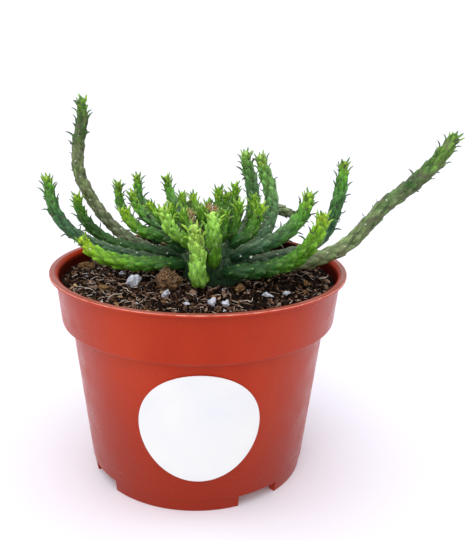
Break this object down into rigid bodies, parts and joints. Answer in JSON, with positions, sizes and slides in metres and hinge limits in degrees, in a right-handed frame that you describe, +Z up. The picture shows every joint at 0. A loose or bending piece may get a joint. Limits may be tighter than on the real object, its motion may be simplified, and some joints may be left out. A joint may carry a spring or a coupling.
{
  "type": "potted medusa head euphorbia",
  "caption": "Medusa head euphorbia: snaking green arms round a low head, in a terracotta-coloured plastic nursery pot of potting mix.",
  "frame": {"origin": "centre of the bounding box at its base, on the surface that the pot stands on; the pot's own axis stands 16.1 mm to the left of it, at x = -0.0161", "axes": "+X to the right towards the longest arm, +Y to the back, away from the label, +Z up"},
  "size_m": [0.1395, 0.105, 0.1325],
  "materials": {
    "pot_plastic": "satin",
    "label_vinyl": "satin",
    "potting_mix": "matte",
    "head_skin": "satin",
    "old_arm_skin": "matte",
    "mature_arm_skin": "satin",
    "young_arm_skin": "satin",
    "perlite": "matte",
    "bark": "matte"
  },
  "bodies": {
    "root": {"nursery_pot": "pot_plastic", "label": "label_vinyl", "potting_mix": "potting_mix", "head": "head_skin", "arm_left_tall": "old_arm_skin", "arm_right_long": "old_arm_skin", "arm_back_right_sagging": "old_arm_skin", "arm_left_far": "mature_arm_skin", "arm_left_dark": "mature_arm_skin", "arm_left_low": "mature_arm_skin", "arm_right_low": "mature_arm_skin", "arm_right_upper": "mature_arm_skin", "arm_right_upright": "mature_arm_skin", "arm_back_left_outer": "mature_arm_skin", "arm_back_low_left": "mature_arm_skin", "arm_back_low": "mature_arm_skin", "arm_back_right_tall": "mature_arm_skin", "arm_back_tall": "mature_arm_skin", "arm_back_left_tall": "mature_arm_skin", "arm_back_left_inner": "mature_arm_skin", "arm_left_middle": "mature_arm_skin", "arm_back_upper": "mature_arm_skin", "arm_left_lime": "young_arm_skin", "arm_left_upper": "young_arm_skin", "arm_left_inner": "young_arm_skin", "arm_left_crook": "young_arm_skin", "arm_left_stub": "young_arm_skin", "arm_back_short_left": "young_arm_skin", "arm_back_short_right": "young_arm_skin", "arm_crown_left": "young_arm_skin", "arm_crown_front": "young_arm_skin", "arm_crown_middle": "young_arm_skin", "arm_crown_back": "young_arm_skin", "arm_crown_back_low": "young_arm_skin", "arm_crown_tall": "young_arm_skin", "arm_crown_right": "young_arm_skin", "arm_right_inner": "young_arm_skin", "arm_front_rising": "young_arm_skin", "arm_front_middle": "young_arm_skin", "perlite_large": "perlite", "perlite_left": "perlite", "perlite_small": "perlite", "perlite_front_left": "perlite", "perlite_front": "perlite", "perlite_front_middle": "perlite", "perlite_front_right": "perlite", "perlite_flake": "perlite", "perlite_right": "perlite", "bark_chunk_left": "bark", "bark_clump": "bark", "bark_sliver_right": "bark", "bark_chip_front": "bark"}
  },
  "joints": []
}
